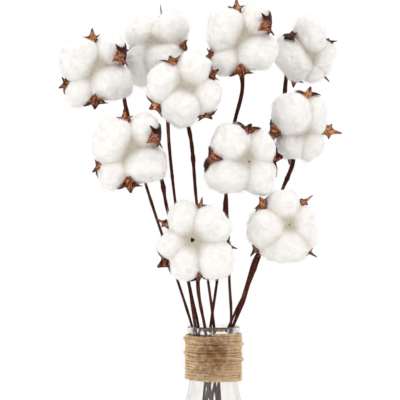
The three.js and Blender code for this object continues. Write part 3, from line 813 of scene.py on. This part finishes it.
def twine_skins():
    """The outline of three plies that touch, carried along the twine and turned once in each
    twist. Across a ply it is the far side of a circle of radius p whose middle is d = 2p / sqrt(3)
    out: r = d cos a + sqrt(p^2 - d^2 sin^2 a). Between two plies is a groove. Hairs stand out."""
    turns = TWINE_TURNS + CROSSINGS[-1][0]
    rough = twine_line(np.linspace(0, turns, TWINE_TRACE))
    length = np.linalg.norm(np.diff(rough, axis=0), axis=1).sum()
    twists = length / TWINE_TWIST
    line = evenly(rough, int(twists * TWINE_ROWS_PER_TWIST))
    way, out, up = frames_along(line, line * (1, 1, 0))
    ply = TWINE_SPREAD * TWINE_DIAMETER / 2 / (1 + 2 / math.sqrt(3))
    off = ply * 2 / math.sqrt(3)
    across = np.radians(PLY_CORNERS)
    bulge = off * np.cos(across) + np.sqrt(np.maximum(0, ply**2 - (off * np.sin(across)) ** 2))
    bulge[0] = GROOVE_RADIUS * TWINE_DIAMETER / 2
    angle = (np.arange(3)[:, None] * 2 * math.pi / 3 + across).ravel()
    along = np.linspace(0, length, len(line))
    thicker, swell_length = TWINE_SWELL
    swell = 1 + thicker * waves_along(along, swell_length, 43)
    radius = np.tile(bulge, 3) * swell[:, None]
    turned = angle + 2 * math.pi * along[:, None] / TWINE_TWIST
    grid = line[:, None] + radius[..., None] * (
        np.cos(turned)[..., None] * out[:, None] + np.sin(turned)[..., None] * up[:, None]
    )
    skin = closed(
        grid,
        # groove: how much painted shade the finish lays in, most in the groove between two plies
        groove=np.tile([0.85, 0.1, 0, 0.1], 3),
        along=along[:, None],
        around=angle * TWINE_DIAMETER / 2,
    )
    return [skin, twine_hairs(line, way, out, up)]


def twine_hairs(line, way, out, up):
    """Loose jute fibres, rooted under the twine's outer side, in millimetres: p(t) = root + L t
    (1 - t / 4) ahead + rise t^1.4 off + sway t^2 up."""
    draw = np.random.default_rng(7)
    size = (HAIRS_ON_TWINE, 1)
    at = draw.integers(0, len(line), HAIRS_ON_TWINE)
    lean = draw.normal(0, 0.8, size)
    off = unit(out[at] * np.cos(lean) + up[at] * np.sin(lean))
    root = line[at] + off * TWINE_DIAMETER * HAIR_ROOT
    ahead = way[at] * draw.choice([-1, 1], size)
    reach = draw.uniform(*HAIR_LENGTH, size)
    lift = draw.gamma(1.6, 0.2, size)
    sway = draw.normal(0, 0.25, size)
    share = np.linspace(0, 1, 4)[None, :, None]
    rise = np.minimum(lift * reach * 0.5, HAIR_RISE)[:, None] * share ** 1.4
    lines = (
        root[:, None]
        + ahead[:, None] * reach[:, None] * share * (1 - 0.25 * share)
        + off[:, None] * rise
        + up[at][:, None] * (sway * reach)[:, None] * share**2
    )
    return hairs(lines, HAIR_WIDTH, groove=0, along=3, around=0.4)


# ---- a boll ----


def frame_of(boll):
    """A boll's own axes in rows, x right, y up and z out of its open face, and its middle."""
    turn, nod = math.radians(boll.turn), math.radians(boll.nod)
    face = np.array([
        math.sin(turn) * math.cos(nod), -math.cos(turn) * math.cos(nod), math.sin(nod)
    ])
    right = unit(-np.cross(face, (0, 0, 1)))
    return np.stack([right, np.cross(face, right), face]), np.array(boll.middle, float)


def about_axis(points, angle):
    """Points turned by an angle about z."""
    x, y, z = np.moveaxis(points, -1, 0)
    turned = [x * np.cos(angle) - y * np.sin(angle), x * np.sin(angle) + y * np.cos(angle), z]
    return np.stack(turned, axis=-1)


def stretch_of(lock):
    """How many times a lock is drawn out towards the axis, so that the locks meet there: its
    distance from the axis over MEETING of its half size that way, from 1 to MOST_STRETCH."""
    across, up, long, broad, turn, _ = lock
    away = math.hypot(across, up)
    heading = math.atan2(up, across) - math.radians(turn)
    along, aside = abs(math.cos(heading)) / long, abs(math.sin(heading)) / broad
    over = (along**FULLNESS + aside**FULLNESS) ** (1 / FULLNESS)
    return min(MOST_STRETCH, max(1.0, away / MEETING * over))


def depth_in_lock(radius, lock, points, grow=0.0, stretch=1.0):
    """How far out in a lock points are: 0 at its middle, 1 on its surface. A lock is an egg
    whose narrow end sits in the cup. At a share of its height, with low = (1 - share) / 2, its
    middle is drawn in to 1 - low^2 / 2 of its distance from the axis and its half sizes to 1 - 0.3
    low^2. In the face it is fuller than an ellipse: |u|^2.5 + |v|^2.5 = 1. It reaches 0.35 + half
    the root of its half sizes forward and 0.8 back. Its side towards the axis is stretched."""
    across, up, long, broad, turn, forward = lock
    z = points[..., 2] - forward * radius
    tall = np.where(z > 0, 0.35 + 0.5 * math.sqrt(long * broad), 0.8) * radius + grow
    low = (1 - np.clip(z / tall, -1, 1)) / 2
    narrow = 1 - 0.3 * low**2
    inward = radius * (1 - 0.5 * low**2)
    x = points[..., 0] - across * inward
    y = points[..., 1] - up * inward
    away = math.hypot(across, up)
    short = (1 - 1 / stretch) * np.maximum(0, -(x * across + y * up) / away) / away
    x, y = x + short * across, y + short * up
    cos, sin = math.cos(math.radians(turn)), math.sin(math.radians(turn))
    along = (x * cos + y * sin) / (long * radius + grow) / narrow
    aside = (y * cos - x * sin) / (broad * radius + grow) / narrow
    face = (np.abs(along) ** FULLNESS + np.abs(aside) ** FULLNESS) ** (2 / FULLNESS)
    return np.sqrt(face + (z / tall) ** 2)


def reach_of_lock(radius, lock, directions):
    """Distance from the boll's middle to the far side of a lock in each direction, or 0 where the
    direction misses it: the outermost of some tries that is inside, brought nearer by halving."""
    tries = np.linspace(FARTHEST, 0, TRIES) * radius
    drawn = stretch_of(lock)
    inside = np.stack(
        [depth_in_lock(radius, lock, directions * far, stretch=drawn) < 1 for far in tries]
    )
    first = inside.argmax(0)
    near = tries[first]
    far = tries[np.maximum(first - 1, 0)]
    for _ in range(HALVINGS):
        middle = (near + far) / 2
        in_it = depth_in_lock(radius, lock, directions * middle[:, None], stretch=drawn) < 1
        near, far = np.where(in_it, middle, near), np.where(in_it, far, middle)
    return np.where(inside.any(0), near, 0)


def cotton_skins(boll, seed):
    """The locks grown together: in each direction from the middle, the sum of how far they reach,
    each to a high power, under the root of that power, so that the creases between them are round.
    Soft lumps of three sizes fade in the creases. Loose lint stands off it."""
    directions, quads = ball(BALL_STEPS)
    heart = np.full(len(directions), HEART * boll.radius)
    reaches = np.stack(
        [heart] + [reach_of_lock(boll.radius, lock, directions) for lock in boll.locks]
    )
    soft = (reaches**SOFTNESS).sum(0) ** (1 / SOFTNESS)
    ordered = np.sort(reaches, axis=0)
    # crease: how near the second lock comes to the outermost one, and where the heart is outermost,
    # in the pit between the locks; the finish paints a warm grey shade by it, and the lumps fade by
    # it
    crease = np.maximum(
        0.55 * (ordered[-2] / ordered[-1]) ** 9, ease(heart / ordered[-1], 0.62, 0.95)
    )
    base = directions * soft[:, None]
    uneven = lumps(base, COTTON_LUMPS, seed) * (1 - 0.5 * crease)
    corners = directions * (soft + uneven)[:, None]
    skin = Skin(corners, outward(corners, (quads,)), {"crease": crease})
    return [skin, lint(skin, boll, seed + 3)]


def corner_normals(skin):
    """Direction out of the surface at each corner: the sum of the cross products of the diagonals
    of its faces."""
    quads = skin.faces[0]
    a, b, c, d = (skin.corners[quads[:, k]] for k in range(4))
    turned = np.cross(c - a, d - b)
    total = np.zeros_like(skin.corners)
    for k in range(4):
        np.add.at(total, quads[:, k], turned)
    return unit(total)


def lint(skin, boll, seed):
    """Loose fibres that follow the round of the surface: p(t) = root + L t along + (lift sin(pi t
    k) - sag t^2 / 2) out + curl t^2 aside. With k = 1 a fibre is a low loop and with k = 1/2 its
    far end stands up."""
    draw = np.random.default_rng(seed)
    size = (LINT_PER_BOLL, 1)
    at = draw.integers(0, len(skin.corners), LINT_PER_BOLL)
    out = corner_normals(skin)[at]
    along = unit(np.cross(out, draw.normal(size=out.shape)))
    aside = np.cross(out, along)
    reach = draw.uniform(*LINT_LENGTH, size)
    loop = draw.uniform(size=size) < LINT_LOOPS
    lift = np.minimum(draw.gamma(2.0, 0.35, size), LINT_LIFT)
    curl = draw.normal(0, 0.35, size) * reach
    share = np.linspace(0, 1, 5)[None, :, None]
    swing = np.sin(math.pi * share * np.where(loop, 1, 0.5)[:, None])
    sag = (reach**2 / (1.1 * boll.radius))[:, None] * share**2
    lines = (
        (skin.corners[at] - LINT_ROOT * out)[:, None]
        + along[:, None] * reach[:, None] * share
        + out[:, None] * (lift[:, None] * swing - 0.5 * sag)
        + aside[:, None] * curl[:, None] * share**2
    )
    return hairs(lines, LINT_WIDTH, crease=0)


def clear_of_locks(boll, points, grow):
    """Points walked out of the locks, each grown by this much. One that is inside a lock takes
    short steps the way in which its depth there grows fastest, leaning a little off the axis."""
    points = points.copy()
    nudge = 0.02 * np.eye(3)
    for _ in range(MOST_STEPS):
        stuck = 0
        for lock in boll.locks:
            depth = depth_in_lock(boll.radius, lock, points, grow)
            inside = depth < 1
            stuck += inside.sum()
            slope = [
                depth_in_lock(boll.radius, lock, points + step, grow) - depth for step in nudge
            ]
            way = unit(np.stack(slope, axis=-1)) + LEAN_OUT * unit(points * (1, 1, 0) + 1e-9)
            points += np.where(inside[..., None], STEP_OUT * way, 0)
        if not stuck:
            break
    return points


def evened(grid, times):
    """Grid whose inner rows are moved to (before + 2 here + after) / 4, this many times."""
    grid = grid.copy()
    for _ in range(times):
        grid[1:-1] = (grid[:-2] + 2 * grid[1:-1] + grid[2:]) / 4
    return grid


def valve_skin(boll, valve, seed):
    """A valve: a pointed plate whose midline and breadth follow the rows of VALVE, with a pair of
    wings near its end that curl, and which lies round the locks where they are in its way. Across
    it w runs from -1 to 1: the edges thin out as 1 - 0.75 w^4, the wings rise as w^2, each by its
    own share, and a septum stands up from the middle as (1 - |w| half / base)^1.5."""
    angle, reach, breadth, rise, fin, tone = valve
    share = np.linspace(0, 1, VALVE_ROWS)
    out, height, half, septum = (np.interp(share, VALVE[:, 0], column) for column in VALVE.T[1:])
    out = out * boll.radius * (1 + (reach - 1) * share)
    height = (height + rise * share) * boll.radius
    half = half[:, None] * boll.radius * breadth
    septum = septum[:, None] * boll.radius * fin
    middle = evened(np.stack([out, height], axis=1), 5)
    way = unit(np.gradient(middle, axis=0))
    w = np.linspace(-1, 1, VALVE_COLUMNS)
    draw = np.random.default_rng(seed)
    lean = draw.normal(0, 0.7) * share[:, None] ** 3
    ones = np.ones_like(w)
    plate = np.stack([middle[:, :1] * ones, half * w + lean, middle[:, 1:] * ones], axis=-1)
    normal = np.stack([-way[:, 1], np.zeros(VALVE_ROWS), way[:, 0]], axis=-1)[:, None]
    turn = math.radians(angle)
    plate, normal = about_axis(plate, turn), about_axis(normal, turn)
    plate = evened(clear_of_locks(boll, plate, VALVE_CLEARANCE), 1)
    at, wide = WING
    near = np.exp(-(((share[:, None] - at) / wide) ** 2))
    lifts = WING_CURL * boll.radius * draw.uniform(0.5, 1.5, 2)
    plate[..., 2] += lifts[(w > 0).astype(int)] * w**2 * near
    base = half * min(0.9, 0.25 + 0.3 * fin) + 0.01
    ridge = septum * np.maximum(0, 1 - np.abs(w) * half / base) ** 1.5
    taper = np.interp(share, (0, 0.8, 1), (1, 0.9, 0.4))[:, None]
    thin = VALVE_THICKNESS / 2 * (1 - 0.75 * w**4) * taper
    inner = plate + normal * (thin + ridge)[..., None]
    outer = plate - normal * thin[..., None]
    grid = np.concatenate([inner, outer[:, ::-1]], axis=1)
    grid = grid + normal * lumps(grid, VALVE_WRINKLES, seed + 1)[..., None]
    # dark along the edge and towards the tip, and a little on the septum
    tip, crest = ease(share[:, None], 0.8, 1), ease(ridge, 0.35 * septum, septum + 0.01)
    edge = 0.85 * np.maximum(np.abs(w) ** 3, tip) + 0.15 * crest
    edge = np.clip(np.concatenate([edge, edge[:, ::-1]], axis=1), 0, 1)
    side = np.concatenate([ones, 0 * ones])
    return closed(grid, inner=side, edge=edge, tone=tone)


def cup_skin(boll, seed):
    """The shallow cup that the valves grow from: its rounded outline carried round z, with ribs."""
    bottom = -BURR_BACK * boll.radius
    outline = rounded(
        [
            (0.6, bottom),
            (TWIG_TOP_RADIUS + 0.6, bottom),
            (CUP_RADIUS, bottom + 0.5 * CUP_HEIGHT),
            (CUP_RADIUS, bottom + CUP_HEIGHT),
            (0.6, bottom + CUP_HEIGHT + 0.5),
        ],
        1.4, 4,
    )
    angle = full_turn(CUP_SIDES)
    grid = round_z(outline[:, :1] * ribbed(angle), outline[:, 1:], angle)
    grid += 0.12 * waves(grid, 4, seed)[..., None] * unit(grid * (1, 1, 0) + 1e-9)
    return closed(grid, inner=0, edge=0.2)


def burr_skins(boll, seed):
    """The cup, a valve in each gap between two locks, and the core where it shows."""
    valves = [valve_skin(boll, valve, seed + 10 * i) for i, valve in enumerate(boll.valves)]
    core = [core_skin(boll, seed + 7)] if boll.core else []
    return [cup_skin(boll, seed + 5), *valves, *core]


def core_skin(boll, seed):
    """The column that the septa grew from, from the cup to where the locks part: a bar with three
    ribs, r (1 + cos(3a) / 4), that narrows to its top, broken off there."""
    *top, half = boll.core
    share = np.linspace(0, 1, CORE_ROWS)[:, None]
    line = (share * np.array(top) + (1 - share) * (0, 0, -0.8)) * boll.radius
    radius = half * np.interp(share, (0.7, 0.93, 1), (1.5, 1, 0.35))
    radius = radius * (1 + 0.25 * np.cos(3 * full_turn(CORE_SIDES)))
    radius *= 1 + 0.15 * waves(line, 3, seed)[:, None]
    return tube(line, radius, np.array([1.0, 0, 0]), inner=0.1, edge=0.6, tone=0.2)


def twig_line(boll):
    """From the vase's floor through the neck and the mouth up to the underside of the cup."""
    axes, middle = frame_of(boll)
    end = BURR_BACK * boll.radius + SEAT_GAP
    behind = [middle - axes[2] * (end + more) for more in (TWIG_BEND, TWIG_LAST_SPAN, 0)]
    behind[0] = behind[0] - (0, 0, TWIG_SAG)
    route = [
        (*boll.foot, TWIG_FOOT_Z), (*boll.neck, NECK_BOTTOM), (*boll.mouth, VASE_HEIGHT),
        *boll.above, *behind,
    ]
    return curve_through(route, TWIG_ROWS)


def twig_skins(boll, seed):
    """The stalk: a ribbed bar that thickens towards its burr, with swollen knots, each a bell curve
    of the distance along the stalk. A bud stands at each knot."""
    line = twig_line(boll)
    along = lengths(line)
    length = along[-1]
    share = along / length
    thick = ease(share, 1 - TWIG_THICK_SHARE, 1)
    radius = TWIG_RADIUS + (TWIG_TOP_RADIUS - TWIG_RADIUS) * thick
    draw = np.random.default_rng(seed)
    knots = np.cumsum(draw.uniform(*KNOT_SPACING, MOST_KNOTS)) + VASE_HEIGHT
    knots = knots[knots < length - BARE_END]
    swell = np.exp(-(((along[:, None] - knots) / KNOT_LENGTH) ** 2)).sum(1)
    radius = (radius * (1 + KNOT_SWELL * swell))[:, None] * ribbed(full_turn(TWIG_SIDES))
    radius *= 1 + 0.05 * waves(line, 9, seed + 1)[:, None]
    skins = [tube(line, radius, np.array([1.0, 0, 0]))]
    for knot in knots:
        place = np.array([np.interp(knot, along, axis) for axis in line.T])
        ahead = np.array([np.interp(knot + 1, along, axis) for axis in line.T]) - place
        skins.append(bud(place, ahead, draw))
    return skins


def bud(place, ahead, draw):
    """A dried bud: a curved cone that leaves the stalk aslant, whose radius goes as (1 - t)^0.7."""
    side = unit(np.cross(ahead, draw.normal(size=3)))
    share = np.linspace(0, 1, 7)[:, None]
    length = draw.uniform(*BUD_LENGTH)
    line = place + ahead * length * (0.35 * share + 0.4 * share**2) + side * length * share**0.8
    radius = BUD_RADIUS * (1 - 0.97 * share) ** 0.7 * np.ones(6)
    return tube(line, radius, unit(ahead))


# ---- camera, floor and light ----


def make_camera():
    """Level, in front of the upper part of the bunch, so that a millimetre in the plane y = 0 is
    the same share of the picture everywhere: 300 mm fill it. All in millimetres."""
    distance, half_view, sensor = 1500, 150, 36
    across, height = -10.1, 294.5
    data = bpy.data.cameras.new("camera")
    data.sensor_width = sensor
    data.lens = sensor / 2 * distance / half_view
    camera = stood("camera", data)
    camera.location = (across * MM, -distance * MM, height * MM)
    camera.rotation_euler = (math.pi / 2, 0, 0)
    bpy.context.scene.camera = camera


def pale_floor():
    """A disc of matt white paper, 2.5 m across, that goes over to the white of the room between
    180 mm and 1 m from its middle."""
    material, tree, shader, place = finish_of(
        "white_paper", {"Roughness": 0.9, "Specular IOR Level": 0.1}
    )
    grain = add(tree, "TexNoise", {"Vector": place, "Scale": per_mm(2), "Detail": 3})  # 2 mm wide
    paper = add(tree, "ValToRGB", {"Fac": grain}, stops=((0.3, "#F3F2F0"), (0.7, "#FAF9F8")))
    tree.links.new(paper, shader.inputs["Base Color"])
    away = add(tree, "VectorMath", {0: place}, "Value", operation="LENGTH")
    fade = add(
        tree, "MapRange", {"Value": away, 1: 180 * MM, 2: 1000 * MM},
        interpolation_type="SMOOTHSTEP",
    )
    room = add(tree, "Emission", {"Color": (1, 1, 1, 1), "Strength": 1})
    mix = add(tree, "MixShader", {0: fade, 1: shader.outputs[0], 2: room})
    tree.links.new(mix, tree.nodes["Material Output"].inputs["Surface"])
    rim = round_z(1250 * MM, 0, full_turn(96))
    mesh = bpy.data.meshes.new("floor")
    mesh.from_pydata(rim.tolist(), [], [list(range(len(rim)))])
    mesh.materials.append(material)
    stood("floor", mesh)


def soft_box(name, place, aim, size, power):
    """A square soft light that looks at a point, in millimetres and watts."""
    data = bpy.data.lights.new(name, "AREA")
    data.size = size * MM
    data.energy = power
    lamp = stood(name, data)
    way = unit(np.array(aim, float) - place)
    lamp.location = np.array(place) * MM
    yaw = math.atan2(way[1], way[0]) - math.pi / 2
    lamp.rotation_euler = (math.acos(-way[2]), 0, yaw)


def white_room():
    """Full white where it is seen, reflected or refracted; as a light a little warmer and more."""
    world = bpy.data.worlds.new("white_room")
    world.use_nodes = True
    tree = world.node_tree
    lit = add(tree, "LightPath", out="Is Diffuse Ray")
    seen = add(tree, "Background", {"Color": (1, 1, 1, 1), "Strength": 1})
    light = add(tree, "Background", {"Color": linear("#FFFDFA"), "Strength": 1.12})
    mix = add(tree, "MixShader", {0: lit, 1: seen, 2: light})
    tree.links.new(mix, tree.nodes["World Output"].inputs["Surface"])
    bpy.context.scene.world = world
    bpy.context.scene.view_settings.view_transform = "Standard"


def build():
    make_camera()
    white_room()
    pale_floor()
    middle = (0, 0, 330)
    soft_box("key_light", (-700, -1500, 900), middle, 1300, 2)
    soft_box("top_light", (300, 200, 1500), middle, 900, 1.5)

    cotton, husk, bark = cotton_lint(), dry_husk(), twig_bark()
    piece("glass_vase", [vase_skin()], bottle_glass(), "clear_glass", "vase")
    piece("neck_twine", twine_skins(), jute_twine(), "jute_twine", "twine")
    for boll in BOLLS:
        name, seed, own = boll.name, 100 * int(boll.name), frame_of(boll)
        cotton_parts = [moved(skin, own) for skin in cotton_skins(boll, seed)]
        husk_parts = [moved(skin, own) for skin in burr_skins(boll, seed + 20)]
        piece(f"boll_{name}_cotton", cotton_parts, cotton, "cotton_lint", f"cotton_{name}")
        piece(f"boll_{name}_husk", husk_parts, husk, "burr_husk", f"burr_{name}")
        piece(f"stem_{name}", twig_skins(boll, seed + 60), bark, "twig_bark", f"twig_{name}")


build()
